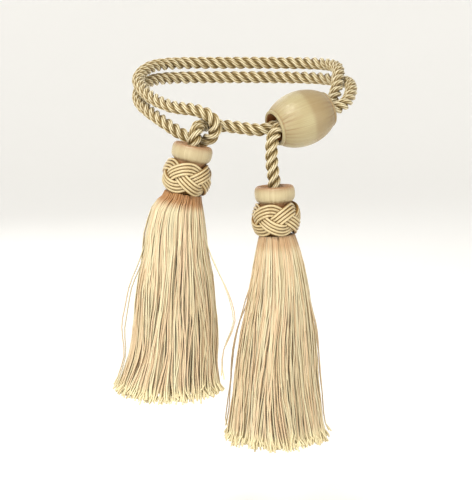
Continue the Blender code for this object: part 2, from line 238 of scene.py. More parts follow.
def colour_setting(name, description, *default):
    return FloatVectorProperty(
        name=name,
        description=description,
        default=linear(*default),
        min=0.0,
        max=1.0,
        size=3,
        subtype="COLOR",
    )


# ---------------------------------------------------------------- node trees


def wire_operator(operation, swapped=False):
    """A Python operator that adds a maths node, with the wire first unless they are swapped."""

    def operate(self, other):
        return self.graph.maths(operation, *((other, self) if swapped else (self, other)))

    return operate


class Wire:
    """An output socket that Python's own operators work on."""

    def __init__(self, graph, socket):
        self.graph = graph
        self.socket = socket

    __add__ = wire_operator("ADD")
    __sub__ = wire_operator("SUBTRACT")
    __mul__ = wire_operator("MULTIPLY")
    __truediv__ = wire_operator("DIVIDE")
    __pow__ = wire_operator("POWER")
    __radd__ = wire_operator("ADD", swapped=True)
    __rsub__ = wire_operator("SUBTRACT", swapped=True)
    __rmul__ = wire_operator("MULTIPLY", swapped=True)


class Graph:
    """A node tree that is written as calls and sums."""

    def __init__(self, tree):
        self.tree = tree

    @staticmethod
    def found(sockets, name):
        if isinstance(name, int):
            return sockets[name]
        return next(s for s in sockets if s.enabled and s.name == name)

    def node(self, kind, inputs=None, output=None, **settings):
        """Adds a node: its settings first, then the values or links of its sockets."""
        made = self.tree.nodes.new(kind)
        for name, value in settings.items():
            setattr(made, name, value)
        for name, value in (inputs or {}).items():
            socket = self.found(made.inputs, name)
            if isinstance(value, Wire):
                self.tree.links.new(value.socket, socket)
            else:
                socket.default_value = value
        if output is None:
            shown = [s for s in made.outputs if s.enabled]
            return Wire(self, shown[0]) if shown else made
        if isinstance(output, str):
            return Wire(self, self.found(made.outputs, output))
        return [Wire(self, self.found(made.outputs, name)) for name in output]

    def maths(self, operation, *values):
        return self.node("ShaderNodeMath", dict(enumerate(values)), operation=operation)

    def vector(self, operation, *values, output=None):
        inputs = dict(enumerate(values))
        return self.node("ShaderNodeVectorMath", inputs, output, operation=operation)

    def scaled(self, vector, share):
        return self.node("ShaderNodeVectorMath", {0: vector, "Scale": share}, operation="SCALE")

    def added(self, first, *others):
        for other in others:
            first = self.vector("ADD", first, other)
        return first

    def combined(self, x, y, z):
        return self.node("ShaderNodeCombineXYZ", {0: x, 1: y, 2: z})

    def parts(self, vector):
        return self.node("ShaderNodeSeparateXYZ", {0: vector}, output=("X", "Y", "Z"))

    def eased(self, value, start, end, low=0.0, high=1.0):
        """A smooth step from low to high as the value goes from start to end."""
        return self.node(
            "ShaderNodeMapRange",
            {"Value": value, "From Min": start, "From Max": end, "To Min": low, "To Max": high},
            interpolation_type="SMOOTHSTEP",
        )

    def mixed(self, share, first, second):
        """Goes from the first colour to the second."""
        return self.node(
            "ShaderNodeMix",
            {"Factor": share, "A": first, "B": second},
            data_type="RGBA",
            clamp_factor=True,
        )

    def noise(self, vector, scale, detail=2.0, output="Fac"):
        return self.node(
            "ShaderNodeTexNoise",
            {"Vector": vector, "Scale": scale, "Detail": detail},
            output=output,
        )

    def random(self, number, seed, low=0.0, high=1.0, kind="FLOAT"):
        """A random value from low to high for each number."""
        inputs = {"Min": low, "Max": high, "ID": number, "Seed": seed}
        return self.node("FunctionNodeRandomValue", inputs, data_type=kind)

    def attribute(self, name):
        """A number that the mesh keeps under a name, for a material to read."""
        return self.node("ShaderNodeAttribute", output="Fac", attribute_name=name)


def geometry_tree(name, inputs):
    """A geometry tree with an input for each name and default, then a seed and a material.

    Gives its graph, the wires from its inputs, and its guide lines as curves.
    """
    tree = bpy.data.node_groups.new(name, "GeometryNodeTree")
    sockets = tree.interface
    sockets.new_socket("Geometry", in_out="INPUT", socket_type="NodeSocketGeometry")
    sockets.new_socket("Geometry", in_out="OUTPUT", socket_type="NodeSocketGeometry")
    for label, default in {**inputs, "Seed": 1}.items():
        kind = "NodeSocketInt" if isinstance(default, int) else "NodeSocketFloat"
        sockets.new_socket(label, in_out="INPUT", socket_type=kind).default_value = default
    sockets.new_socket("Material", in_out="INPUT", socket_type="NodeSocketMaterial")
    graph = Graph(tree)
    entry = tree.nodes.new("NodeGroupInput")
    given = {s.name: Wire(graph, s) for s in entry.outputs if s.name}
    line = graph.node("GeometryNodeMeshToCurve", {"Mesh": given["Geometry"]})
    return graph, given, line


def stored(graph, geometry, name, value, data_type="FLOAT"):
    """The geometry with a value kept on its points under a name that materials can read."""
    return graph.node(
        "GeometryNodeStoreNamedAttribute",
        {"Geometry": geometry, "Name": name, "Value": value},
        data_type=data_type,
        domain="POINT",
    )


def named(graph, name):
    """The vector that is kept under a name."""
    return graph.node(
        "GeometryNodeInputNamedAttribute",
        {"Name": name},
        output="Attribute",
        data_type="FLOAT_VECTOR",
    )


def finish_yarns(graph, given, curve, radius, **swept_with):
    """Ends a tree in round yarns along its curves, as a realised, smooth mesh with its material.

    Each point keeps how far round its yarn it is, and how squarely it faces away from what the
    yarn lies on, which the materials turn into painted shade.
    """
    inputs = {"Resolution": given["Sides"], "Radius": radius}
    circle = graph.node("GeometryNodeCurvePrimitiveCircle", inputs)
    factor = graph.node("GeometryNodeSplineParameter", output="Factor")
    profile = stored(graph, circle, "around", factor)
    inputs = {"Curve": curve, "Profile Curve": profile, **swept_with}
    swept = graph.node("GeometryNodeCurveToMesh", inputs)
    normal = graph.node("GeometryNodeInputNormal", output="Normal")
    facing = graph.vector("DOT_PRODUCT", normal, named(graph, "outward"), output="Value")
    kept = stored(graph, swept, "facing", facing)
    smooth = graph.node("GeometryNodeSetShadeSmooth", {"Geometry": kept})
    real = graph.node("GeometryNodeRealizeInstances", {"Geometry": smooth})
    inputs = {"Geometry": real, "Material": given["Material"]}
    dressed = graph.node("GeometryNodeSetMaterial", inputs)
    out = graph.tree.nodes.new("NodeGroupOutput")
    graph.tree.links.new(dressed.socket, out.inputs["Geometry"])
    return graph.tree


def curve_number(graph):
    """Which curve a point belongs to."""
    return graph.node(
        "GeometryNodeFieldOnDomain",
        {"Value": graph.node("GeometryNodeInputIndex")},
        data_type="INT",
        domain="CURVE",
    )


def laid_cord_tree():
    """Lays yarns into plies and plies into a cord along each guide line, right-handed."""
    graph, given, line = geometry_tree(
        "Laid cord",
        {
            "Plies": 3,
            "Ply offset": 0.0023,
            "Yarns in a ply": 7,
            "Yarn offset": 0.0013,
            "Yarn radius": 0.0007,
            "Length of a turn": 0.0187,
            "Yarn turns back": 1.5,
            "Sides": 5,
        },
    )
    yarns = given["Yarns in a ply"]
    copies, number = graph.node(
        "GeometryNodeDuplicateElements",
        {"Geometry": line, "Amount": given["Plies"] * yarns},
        output=("Geometry", "Duplicate Index"),
        domain="SPLINE",
    )
    ply = graph.maths("FLOOR", number / yarns)
    yarn = graph.maths("MODULO", number, yarns)
    factor, along = graph.node("GeometryNodeSplineParameter", output=("Factor", "Length"))
    long = graph.node("GeometryNodeSplineLength", output="Length")
    turns = graph.maths("ROUND", long / given["Length of a turn"])
    wound = factor * turns * (2 * pi)
    ply_angle = wound + ply / given["Plies"] * (2 * pi)
    yarn_angle = wound * (1 - given["Yarn turns back"]) + yarn / yarns * (2 * pi) + ply
    normal = graph.node("GeometryNodeInputNormal", output="Normal")
    tangent = graph.node("GeometryNodeInputTangent")
    binormal = graph.vector("CROSS_PRODUCT", tangent, normal)
    offsets = []
    for direction, function in ((normal, "COSINE"), (binormal, "SINE")):
        by_ply = graph.maths(function, ply_angle) * given["Ply offset"]
        by_yarn = graph.maths(function, yarn_angle) * given["Yarn offset"]
        offsets.append(graph.scaled(direction, by_ply + by_yarn))
    offset = graph.added(*offsets)
    tone = graph.random(number, given["Seed"])
    kept = stored(graph, stored(graph, copies, "tone", tone), "along", along)
    # outward and rise are kept for the painted shade at the yarns' sides and in the grooves between
    # the plies
    kept = stored(graph, kept, "outward", graph.vector("NORMALIZE", offset), "FLOAT_VECTOR")
    furthest = given["Ply offset"] + given["Yarn offset"]
    kept = stored(graph, kept, "rise", graph.vector("LENGTH", offset, output="Value") / furthest)
    moved = graph.node("GeometryNodeSetPosition", {"Geometry": kept, "Offset": offset})
    return finish_yarns(graph, given, moved, given["Yarn radius"], **{"Fill Caps": True})


def round_cord_tree():
    """Sweeps a smooth cord along each closed guide line."""
    graph, given, line = geometry_tree("Round cord", {"Cord radius": 0.001, "Sides": 8})
    tone = graph.random(curve_number(graph), given["Seed"])
    along = graph.node("GeometryNodeSplineParameter", output="Length")
    kept = stored(graph, stored(graph, line, "tone", tone), "along", along)
    return finish_yarns(graph, given, kept, given["Cord radius"])


def hanging_threads_tree():
    """Grows a lock of loose threads along each guide line, with flicked and uneven cut ends."""
    graph, given, line = geometry_tree(
        "Hanging threads",
        {
            "Threads in a lock": 7,
            "Lock width": 0.003,
            "Root width": 0.75,
            "Thread radius": 0.0005,
            "Wave": 0.001,
            "Length of a wave": 0.03,
            "Flick": 0.003,
            "Uneven ends": 0.014,
            "Sides": 4,
        },
    )
    copies = graph.node(
        "GeometryNodeDuplicateElements",
        {"Geometry": line, "Amount": given["Threads in a lock"]},
        output="Geometry",
        domain="SPLINE",
    )
    thread = curve_number(graph)

    def chance(step, low, high):
        """Three random numbers for each thread."""
        seed = given["Seed"] + step
        return graph.parts(graph.random(thread, seed, (low,) * 3, (high,) * 3, "FLOAT_VECTOR"))

    outward = named(graph, "outward")
    sideways = graph.vector("CROSS_PRODUCT", outward, (0.0, 0.0, 1.0))
    factor, along = graph.node("GeometryNodeSplineParameter", output=("Factor", "Length"))
    out_share, side_share, tone = chance(1, -1.0, 1.0)
    width = given["Lock width"] * graph.eased(factor, 0.0, 0.6, given["Root width"], 1.0)
    spread = graph.added(
        graph.scaled(outward, out_share * width * 0.35), graph.scaled(sideways, side_share * width)
    )
    place_x, place_y, _ = chance(2, 0.0, 60.0)
    wander = graph.noise(
        graph.combined(place_x, place_y, along / given["Length of a wave"]), 1.0, 1.0, "Color"
    )
    wave = graph.scaled(
        graph.vector("SUBTRACT", wander, (0.5, 0.5, 0.5)),
        given["Wave"] * graph.eased(factor, 0.02, 0.25) * 4,
    )
    tip = graph.eased(factor, 0.93, 1.0) ** 1.6
    flick_out, flick_side, flick_up = chance(3, 0.0, 1.0)
    flick = graph.added(
        graph.scaled(outward, (flick_out * 1.5 - 0.35) * tip * given["Flick"]),
        graph.scaled(sideways, (flick_side * 2.4 - 1.2) * tip * given["Flick"]),
        graph.combined(0.0, 0.0, flick_up * tip * given["Flick"] * 0.7),
    )
    kept = stored(graph, stored(graph, copies, "tone", tone * 0.5 + 0.5), "along", factor)
    moved = graph.node(
        "GeometryNodeSetPosition", {"Geometry": kept, "Offset": graph.added(spread, wave, flick)}
    )
    shorter, _, _ = chance(4, 0.0, 1.0)
    cut = graph.node(
        "GeometryNodeTrimCurve",
        {"Curve": moved, "End": 1 - shorter * given["Uneven ends"]},
        mode="FACTOR",
    )
    swept_with = {"Scale": 1 + tip * 0.25, "Fill Caps": True}
    return finish_yarns(graph, given, cut, given["Thread radius"], **swept_with)


def tree_called(name, make):
    """The named tree, made the first time that it is asked for."""
    return bpy.data.node_groups.get(name) or make()


def keep_on_points(mesh, name, kind, field, values):
    """Keeps values on the mesh's points under a name that trees and materials can read."""
    made = mesh.attributes.new(name, kind, "POINT")
    made.data.foreach_set(field, np.asarray(values, np.float32).ravel())


def placed(name, data):
    """An object with the given data, at the origin of the scene."""
    made = bpy.data.objects.new(name, data)
    bpy.context.scene.collection.objects.link(made)
    return made


def aimed(made, place, direction):
    """Puts a lamp or a camera at a place and turns it to look along a direction."""
    made.location = place
    made.rotation_euler = direction.to_track_quat("-Z", "Y").to_euler()


def guide_mesh(name, lines, closed=False, **vectors):
    """Guide lines as loose edges, with a vector kept on each point for each name."""
    mesh = bpy.data.meshes.new(name)
    points = np.concatenate(lines)
    edges = []
    start = 0
    for line in lines:
        count = len(line)
        edges += [(start + i, start + i + 1) for i in range(count - 1)]
        if closed:
            edges.append((start + count - 1, start))
        start += count
    mesh.from_pydata(points.tolist(), edges, [])
    for label, rows in vectors.items():
        keep_on_points(mesh, label, "FLOAT_VECTOR", "vector", np.concatenate(rows))
    return mesh


def run_tree(name, tree, guides, **values):
    """Runs a tree over guide lines and keeps what it makes as a plain mesh at the origin."""
    guide = placed(f"{name}_guide", guides)
    modifier = guide.modifiers.new("Made", "NODES")
    modifier.node_group = tree
    wanted = {key.replace("_", " "): value for key, value in values.items()}
    for item in tree.interface.items_tree:
        if item.in_out == "INPUT" and item.name.lower() in wanted:
            modifier[item.identifier] = wanted.pop(item.name.lower())
    if wanted:
        raise RuntimeError(f"{tree.name} has no input named {', '.join(wanted)}")
    graph = bpy.context.evaluated_depsgraph_get()
    mesh = bpy.data.meshes.new_from_object(guide.evaluated_get(graph), depsgraph=graph)
    guide.modifiers.clear()
    bpy.data.objects.remove(guide)
    bpy.data.meshes.remove(guides)
    mesh.name = name
    return placed(name, mesh)


def dress(piece, slot, *nodes):
    """Makes a piece ride with the object and stand for solids. Its slot is not used."""
    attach(piece, "root")
    if nodes:
        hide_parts(*nodes)
    return piece


# ---------------------------------------------------------------- lines and places


def smooth_through(knots, rows, at):
    """A natural cubic spline through the rows at the knots, read at the given places."""
    knots, rows, at = (np.asarray(values, float) for values in (knots, rows, at))
    count, gaps = len(knots), np.diff(knots)
    slopes = np.diff(rows, axis=0) / gaps[:, None]
    system, wanted = np.eye(count), np.zeros_like(rows)
    for i in range(1, count - 1):
        system[i, i - 1 : i + 2] = gaps[i - 1], 2 * (gaps[i - 1] + gaps[i]), gaps[i]
        wanted[i] = 6 * (slopes[i] - slopes[i - 1])
    bend = np.linalg.solve(system, wanted)
    left = np.clip(np.searchsorted(knots, at, side="right") - 1, 0, count - 2)
    gap = gaps[left][:, None]
    before = (at - knots[left])[:, None]
    after = gap - before
    return (
        (bend[left] * after**3 + bend[left + 1] * before**3) / (6 * gap)
        + (rows[left] / gap - bend[left] * gap / 6) * after
        + (rows[left + 1] / gap - bend[left + 1] * gap / 6) * before
    )


def run_along(points):
    """How far along the points each of them is."""
    return np.concatenate([[0], np.cumsum(np.linalg.norm(np.diff(points, axis=0), axis=1))])


def evenly_along(points, step):
    """Points of the smooth curve through the given ones, close to one step apart."""
    knots = run_along(points)
    fine = smooth_through(knots, points, np.linspace(0, knots[-1], 8000))
    run = run_along(fine)
    places = np.linspace(0, run[-1], round(run[-1] / step) + 1)
    return np.stack([np.interp(places, run, fine[:, axis]) for axis in range(3)], axis=1)


def head_axis(tassel):
    """The upward direction of a tassel's head."""
    return np.array((sin(tassel["lean"]), 0.0, cos(tassel["lean"])))


def head_frame(tassel):
    """The turn and shift that carry points from a head's own frame, with its top at the origin."""
    turn = Matrix.Rotation(tassel["lean"], 3, "Y")
    return np.array(turn), np.array(tassel["top"])


def rope_route():
    """The rope's own points, with both ends carried down into the heads."""
    start, end = (
        np.array(TASSELS[side]["top"]) - ROPE_IN_HEAD * head_axis(TASSELS[side])
        for side in ("left", "right")
    )
    between = LEFT_TASSEL_TO_BEAD + UPPER_TURN + BIGHT + LOWER_TURN + BEAD_TO_RIGHT_TASSEL
    return [tuple(start), *between, tuple(end)]


# ---------------------------------------------------------------- finishes


def new_material(name):
    material = bpy.data.materials.new(name)
    material.use_nodes = True
    graph = Graph(material.node_tree)
    return material, graph, material.node_tree.nodes["Principled BSDF"]


def satin_shader(shader, roughness, sheen):
    """The constant settings of glossy rayon."""
    shader.inputs["Roughness"].default_value = roughness
    shader.inputs["Sheen Weight"].default_value = sheen
    shader.inputs["Sheen Roughness"].default_value = 0.35
    shader.inputs["Sheen Tint"].default_value = (1.0, 0.92, 0.76, 1.0)
    shader.inputs["Specular IOR Level"].default_value = 0.55
    shader.inputs["Specular Tint"].default_value = (1.0, 0.95, 0.84, 1.0)


def link(graph, wire, shader, name):
    graph.tree.links.new(wire.socket, shader.inputs[name])


def fibre_bump(graph, shader, strength, fibres, per_metre):
    """Fine fibres that run with the yarn: gives their height, and where and on which yarn it is."""
    along, around, tone = (graph.attribute(name) for name in ("along", "around", "tone"))
    place = graph.combined(around * fibres, along * per_metre, tone * 37)
    height = graph.noise(place, 1.0, 2.0)
    bump = graph.node(
        "ShaderNodeBump", {"Strength": strength, "Distance": 0.0002, "Height": height}
    )
    link(graph, bump, shader, "Normal")
    return height, along, tone


def cloud_noise(graph, scale):
    """Soft patches over the whole piece."""
    return graph.noise(graph.node("ShaderNodeTexCoord", output="Object"), scale, 2.0)


def yarn_material(name, light, dark, fibre_strength=0.5, groove_shade=False):
    """Satin yarn with painted shade at its sides and, where it is laid in plies, painted shade in the
    grooves between them.
    """
    material, graph, shader = new_material(name)
    satin_shader(shader, 0.36, 0.2)
    fibres, _, tone = fibre_bump(graph, shader, fibre_strength, fibres=9.0, per_metre=260.0)
    cloud = cloud_noise(graph, 55.0)
    own = graph.eased(tone * 0.45 + cloud * 0.5 + fibres * 0.35, 0.25, 0.85, 0.72, 1.0)
    # painted shade: a yarn darkens where it faces away from the outside of its cord, mixed with its
    # random tone
    share = graph.eased(graph.attribute("facing"), 0.35, 1.0) * own
    if groove_shade:
        # painted shade in the grooves between the plies, where the yarns lie nearest the cord's
        # middle
        share = share * graph.eased(graph.attribute("rise"), 0.66, 0.93, 0.15, 1.0)
    link(graph, graph.mixed(share, (*dark, 1), (*light, 1)), shader, "Base Color")
    return material


# ---------------------------------------------------------------- settings


class TiebackRopeSettings(bpy.types.PropertyGroup):
    diameter: length_setting("Diameter", "Diameter of the laid rope", 8.8)
    pitch: length_setting("Length of a turn", "Length in which a ply goes round once", 18.7)
    yarns: IntProperty(name="Yarns", description="Yarns in each ply", default=6, min=3, max=12)
    light: colour_setting("Light", "Colour of the yarns where they face out", 216, 204, 168)
    # dark: painted shade in the grooves and at the yarns' sides, and the low end of their random tone
    dark: colour_setting("Dark", "Colour in the grooves between the yarns", 136, 112, 64)


class TiebackCollarSettings(bpy.types.PropertyGroup):
    height: length_setting("Height", "Height of the braided ring", 21.4)
    barrel: length_setting("Barrel", "Radius under the braid at mid-height", 13.1)
    edge: length_setting("Edge", "Radius under the braid at its two edges", 9.6)
    cord: length_setting("Cord", "Diameter of one of the braid's cords", 2.1)
    swing: length_setting("Swing", "From the middle of the ring to the middle of a bight", 6.5)
    light: colour_setting("Light", "Colour of the cords where they face out", 206, 188, 144)
    # dark: painted shade in the grooves between the cords, the low end of their random tone, and the
    # band under the braid where it faces out
    dark: colour_setting("Dark", "Colour in the grooves between the cords", 122, 88, 38)
    # under: painted shade on the band under the braid, which shows in the braid's openings
    under: colour_setting("Under", "Colour of the band under the braid", 94, 65, 33)


class TiebackSkirtSettings(bpy.types.PropertyGroup):
    thread: length_setting("Thread", "Diameter of one thread", 1.0)
    threads: IntProperty(
        name="Threads", description="Threads in each lock", default=7, min=1, max=12
    )
    flick: length_setting("Flick", "How far the cut ends stand out", 2.6)
    light: colour_setting("Light", "Colour of the threads where they face out", 216, 206, 170)
    rosy: colour_setting("Rosy", "Colour of some of the threads", 216, 189, 153)
    # dark: painted shade at the threads' sides and the low end of their random tone
    dark: colour_setting("Dark", "Colour of the threads' sides", 156, 130, 84)
    # root: painted shade where the threads leave the collar
    root: colour_setting("Root", "Colour of the threads where they leave the collar", 150, 94, 32)
    tip: colour_setting("Tip", "Colour of the cut ends", 230, 218, 172)


class TiebackCoverSettings(bpy.types.PropertyGroup):
    bead_radius: length_setting("Bead radius", "Radius of the covered bead", 18.3)
    head_radius: length_setting("Head radius", "Radius of a tassel's head", 13.1)
    bead_light: colour_setting("Bead light", "Colour of the threads on the bead", 174, 162, 122)
    head_light: colour_setting("Head light", "Colour of the threads on a head", 190, 176, 138)
    # dark: painted shade between the threads and in the creases, the low end of their random tone,
    # and the bead's ring of painted dark reflection with painted shade beyond it
    dark: colour_setting("Dark", "Colour in the creases between them", 125, 93, 52)
    # inside: painted shade inside the bead's bore and lips and in the heads' dishes
    inside: colour_setting("Inside", "Colour inside the bead and the dished heads", 134, 80, 36)


class TiebackStageSettings(bpy.types.PropertyGroup):
    floor: colour_setting("Floor", "Colour of the floor and backdrop", 244, 243, 240)
    drop: length_setting("Floor below", "How far the floor lies under the tassels", 70.0, 1.0)
    azimuth: FloatProperty(
        name="Azimuth", description="Side that the camera looks from", default=0.0, subtype="ANGLE"
    )
    elevation: FloatProperty(
        name="Elevation",
        description="Height of the camera over the horizon",
        default=radians(8),
        subtype="ANGLE",
    )


# ---------------------------------------------------------------- rope


class TIEBACK_OT_rope(bpy.types.Operator):
    """Lay the rope along its route"""

    bl_idname = "tieback.rope"
    bl_label = "Rope"

    yarn_share = 0.33  # radius of a yarn against that of its ply

    def execute(self, context):
        wanted = context.scene.tieback_rope
        route = evenly_along(rope_route(), ROPE_STEP) * MM
        ply_radius = wanted.diameter / 2 / (1 + 2 / sqrt(3))  # three that touch inside the rope
        yarn_radius = ply_radius * self.yarn_share
        rope = run_tree(
            "rope_yarns",
            tree_called("Laid cord", laid_cord_tree),
            guide_mesh("rope_line", [route]),
            plies=3,
            ply_offset=wanted.diameter / 2 - ply_radius,
            yarns_in_a_ply=wanted.yarns,
            yarn_offset=ply_radius - yarn_radius,
            yarn_radius=yarn_radius,
            length_of_a_turn=wanted.pitch,
            yarn_turns_back=1.25,
            sides=6,
            material=yarn_material(
                "rope_satin_yarn", wanted.light, wanted.dark, groove_shade=True
            ),
        )
        dress(rope, "rope_satin", "rope")
        return {"FINISHED"}


# ---------------------------------------------------------------- covered bead and heads


def laid_cover(name, profile, threads, relief, pleats, seed, frame_of=None):
    """A turned surface covered in threads that run along its profile.

    Profile rows hold radius, height, how deep inside the piece the place is from 0 to 1, which the
    material paints as shade, and how strongly the threads are gathered into pleats there, which also
    paints shade in the creases. All lengths are in millimetres.
    """
    rng = np.random.default_rng(seed)
    rows = np.array(profile, float)
    along = run_along(rows[:, :2])
    slope = np.gradient(rows[:, :2], axis=0)
    slope /= np.linalg.norm(slope, axis=1)[:, None]
    normal = np.stack([-slope[:, 1], slope[:, 0]], axis=1)
    across = np.tile((0.0, 0.25, 0.5, 0.75), threads)
    number = np.repeat(np.arange(threads), 4)
    jitter = rng.uniform(-0.3, 0.3, threads) * 2 * pi / threads
    angle = 2 * pi * (number + across) / threads
    angle += jitter[number] * (1 - across) + np.roll(jitter, -1)[number] * across
    ridge = np.sqrt(1 - (2 * across - 1) ** 2) * rng.uniform(0.75, 1.0, threads)[number]
    creases = np.zeros_like(angle)
    for middle in rng.uniform(0, 2 * pi, pleats):
        apart = np.angle(np.exp(1j * (angle - middle)))
        creases += rng.uniform(0.5, 1.0) * np.exp(-((apart / rng.uniform(0.018, 0.05)) ** 2))
    height = relief * ridge[None, :] - 0.22 * np.minimum(creases, 1.5)[None, :] * rows[:, 3:4]
    radius = rows[:, 0:1] + normal[:, 0:1] * height
    level = rows[:, 1:2] + normal[:, 1:2] * height
    points = np.stack([radius * np.cos(angle), radius * np.sin(angle), level + 0 * radius], axis=2)
    turn, origin = frame_of or (np.eye(3), np.zeros(3))
    points = (points.reshape(-1, 3) @ turn.T + origin) * MM
    count_rows, count = radius.shape
    row_start = np.arange(count_rows - 1)[:, None] * count
    first = row_start + np.arange(count)
    after = row_start + (np.arange(count) + 1) % count
    faces = np.stack([first, first + count, after + count, after], axis=2).reshape(-1, 4)
    mesh = bpy.data.meshes.new(name)
    mesh.from_pydata(points.tolist(), [], faces.tolist())
    kept = {
        "tone": np.tile(rng.uniform(0, 1, threads)[number], (count_rows, 1)),
        "around": np.tile(across, (count_rows, 1)),
        "along": np.tile(along[:, None] * MM, (1, count)),
        # deep, crease and facing are masks for painted shade: inside, in the creases and over the
        # gathered ends, and at the sides of each thread
        "deep": np.tile(rows[:, 2:3], (1, count)),
        "crease": np.clip((creases[None, :] + 0.45) * rows[:, 3:4], 0, 1),
        "facing": np.tile(ridge, (count_rows, 1)),
    }
    for label, values in kept.items():
        keep_on_points(mesh, label, "FLOAT", "value", values)
    mesh.shade_smooth()
    return mesh


def cover_material(name, wanted, light, band=None):
    """Satin laid in parallel threads, with painted shade between the threads, in the creases and
    inside.

    A band is the place along the threads and the half width of a ring of painted dark reflection, in
    metres; the threads beyond it, towards the far end, get painted shade.
    """
    material, graph, shader = new_material(name)
    satin_shader(shader, 0.28, 0.35)
    fibres, along, tone = fibre_bump(graph, shader, 0.3, fibres=6.0, per_metre=180.0)
    cloud = cloud_noise(graph, 90.0)
    own = graph.eased(tone * 0.3 + cloud * 0.6 + fibres * 0.3, 0.3, 0.85, 0.76, 1.0)
    # painted shade at the sides of each thread, mixed with its random tone
    share = graph.eased(graph.attribute("facing"), -0.2, 0.9, 0.6, 1.0) * own
    # painted shade in the creases and over the gathered ends
    share = share * (1 - graph.attribute("crease") * 0.6)
    colour = graph.mixed(share, (*wanted.dark, 1), (*light, 1))
    # painted dark reflection in a ring round the bead, and painted shade on the far side of it
    if band:
        middle, half = band
        rising = graph.eased(along, middle - 1.8 * half, middle)
        falling = graph.eased(along, middle + 0.7 * half, middle)
        shade = rising * falling * 0.45 + (1 - rising) * 0.42
        colour = graph.mixed(shade, colour, (*wanted.dark, 1))
    # painted shade inside the bead and in the heads' dishes
    colour = graph.mixed(graph.attribute("deep"), colour, (*wanted.inside, 1))
    link(graph, colour, shader, "Base Color")
    return material


def egg_profile(wanted):
    """The bead's closed profile in millimetres: up the bore, over a lip, down the egg and back."""
    lip_middle = BEAD_BORE + BEAD_LIP
    radius = wanted.bead_radius / MM - 0.2
    reach = BEAD_HALF_LENGTH / sqrt(1 - ((lip_middle + 0.6) / radius) ** 2)
    # the bore and the inner side of each lip get painted shade through the third column
    rows = [(BEAD_BORE, height, 1.0, 0.0) for height in np.linspace(0, BEAD_HALF_LENGTH - 1, 5)]
    for angle in np.linspace(pi, -0.25, 10):
        deep = max(0.0, -cos(angle) - 0.4) / 0.6
        height = BEAD_HALF_LENGTH + BEAD_LIP * sin(angle)
        rows.append((lip_middle + BEAD_LIP * cos(angle), height, deep, 0.15))
    rows.append((lip_middle + 0.85, BEAD_HALF_LENGTH - 0.65, 0.55, 0.4))
    outer = []
    pole = 0.42  # the egg starts and ends at this angle from its poles
    for angle in np.linspace(pole, pi - pole, 30):
        height = (BEAD_HALF_LENGTH - 1.0) * cos(angle) / cos(pole)
        # threads gather into pleats towards the ends; the material paints shade in their creases and
        # over the gathered ends
        gathered = max(0.0, abs(height) / BEAD_HALF_LENGTH - 0.25) ** 1.2 * 1.1
        outer.append((radius * sqrt(1 - (height / reach) ** 2), height, 0.0, gathered))
    rows += outer
    upper = rows[: len(rows) - len(outer)]
    rows += [(radius, -height, deep, gathered) for radius, height, deep, gathered in upper[::-1]]
    return rows


class TIEBACK_OT_covers(bpy.types.Operator):
    """Lay the threads over the bead and the two heads"""

    bl_idname = "tieback.covers"
    bl_label = "Bead and heads"

    def execute(self, context):
        wanted = context.scene.tieback_cover
        mouth, far_end = Vector(BEAD_MOUTH), Vector(BEAD_FAR_END)
        turn = (far_end - mouth).to_track_quat("Z", "Y").to_matrix()
        place = (np.array(turn), np.array((mouth + far_end) / 2))
        profile = egg_profile(wanted)
        mesh = laid_cover(
            "bead_cover", profile, threads=190, relief=0.1, pleats=50, seed=5, frame_of=place
        )
        mesh.materials.append(cover_material("bead_satin", wanted, wanted.bead_light, BEAD_REFLECTION_BAND))
        dress(placed("bead_cover", mesh), "bead_thread", "bead")
        finish = cover_material("head_satin", wanted, wanted.head_light)
        profile = self.head_profile(wanted)
        for seed, (side, tassel) in enumerate(TASSELS.items(), start=11):
            name = f"head_cover_{side}"
            mesh = laid_cover(
                name,
                profile,
                threads=130,
                relief=0.12,
                pleats=40,
                seed=seed,
                frame_of=head_frame(tassel),
            )
            mesh.materials.append(finish)
            dress(placed(name, mesh), "head_thread", f"head_{side}")
        return {"FINISHED"}

    @staticmethod
    def head_profile(wanted):
        """From the hole for the rope, over the dish and the rolled rim, to the neck."""
        out = wanted.head_radius / MM
        # columns: radius, height, depth, gathering; the depth paints shade in the dish and towards
        # the neck, the gathering paints shade in the creases
        rows = (
            (4.9, -5.0, 1.0, 0.0),
            (4.9, -3.0, 1.0, 0.6),
            (6.4, -2.3, 0.95, 0.9),
            (8.0, -1.4, 0.85, 0.8),
            (9.4, -0.6, 0.65, 0.6),
            (out - 2.2, -0.05, 0.8, 0.4),
            (out - 1.0, -0.9, 0.55, 0.25),
            (out - 0.25, -2.8, 0.14, 0.15),
            (out - 0.15, -5.2, 0.0, 0.1),
            (out - 0.45, -7.8, 0.0, 0.2),
            (out - 1.5, -9.6, 0.1, 0.4),
            (out - 2.6, -10.5, 0.5, 0.5),
            (out - 2.9, -12.0, 0.8, 0.5),
            (out - 2.9, -22.0, 1.0, 0.5),
        )
        run = run_along(np.array(rows)[:, :2])
        fine = smooth_through(run, rows, np.linspace(0, run[-1], 40))
        return np.column_stack([fine[:, :2], np.clip(fine[:, 2:], 0, 1)])


# ---------------------------------------------------------------- collars


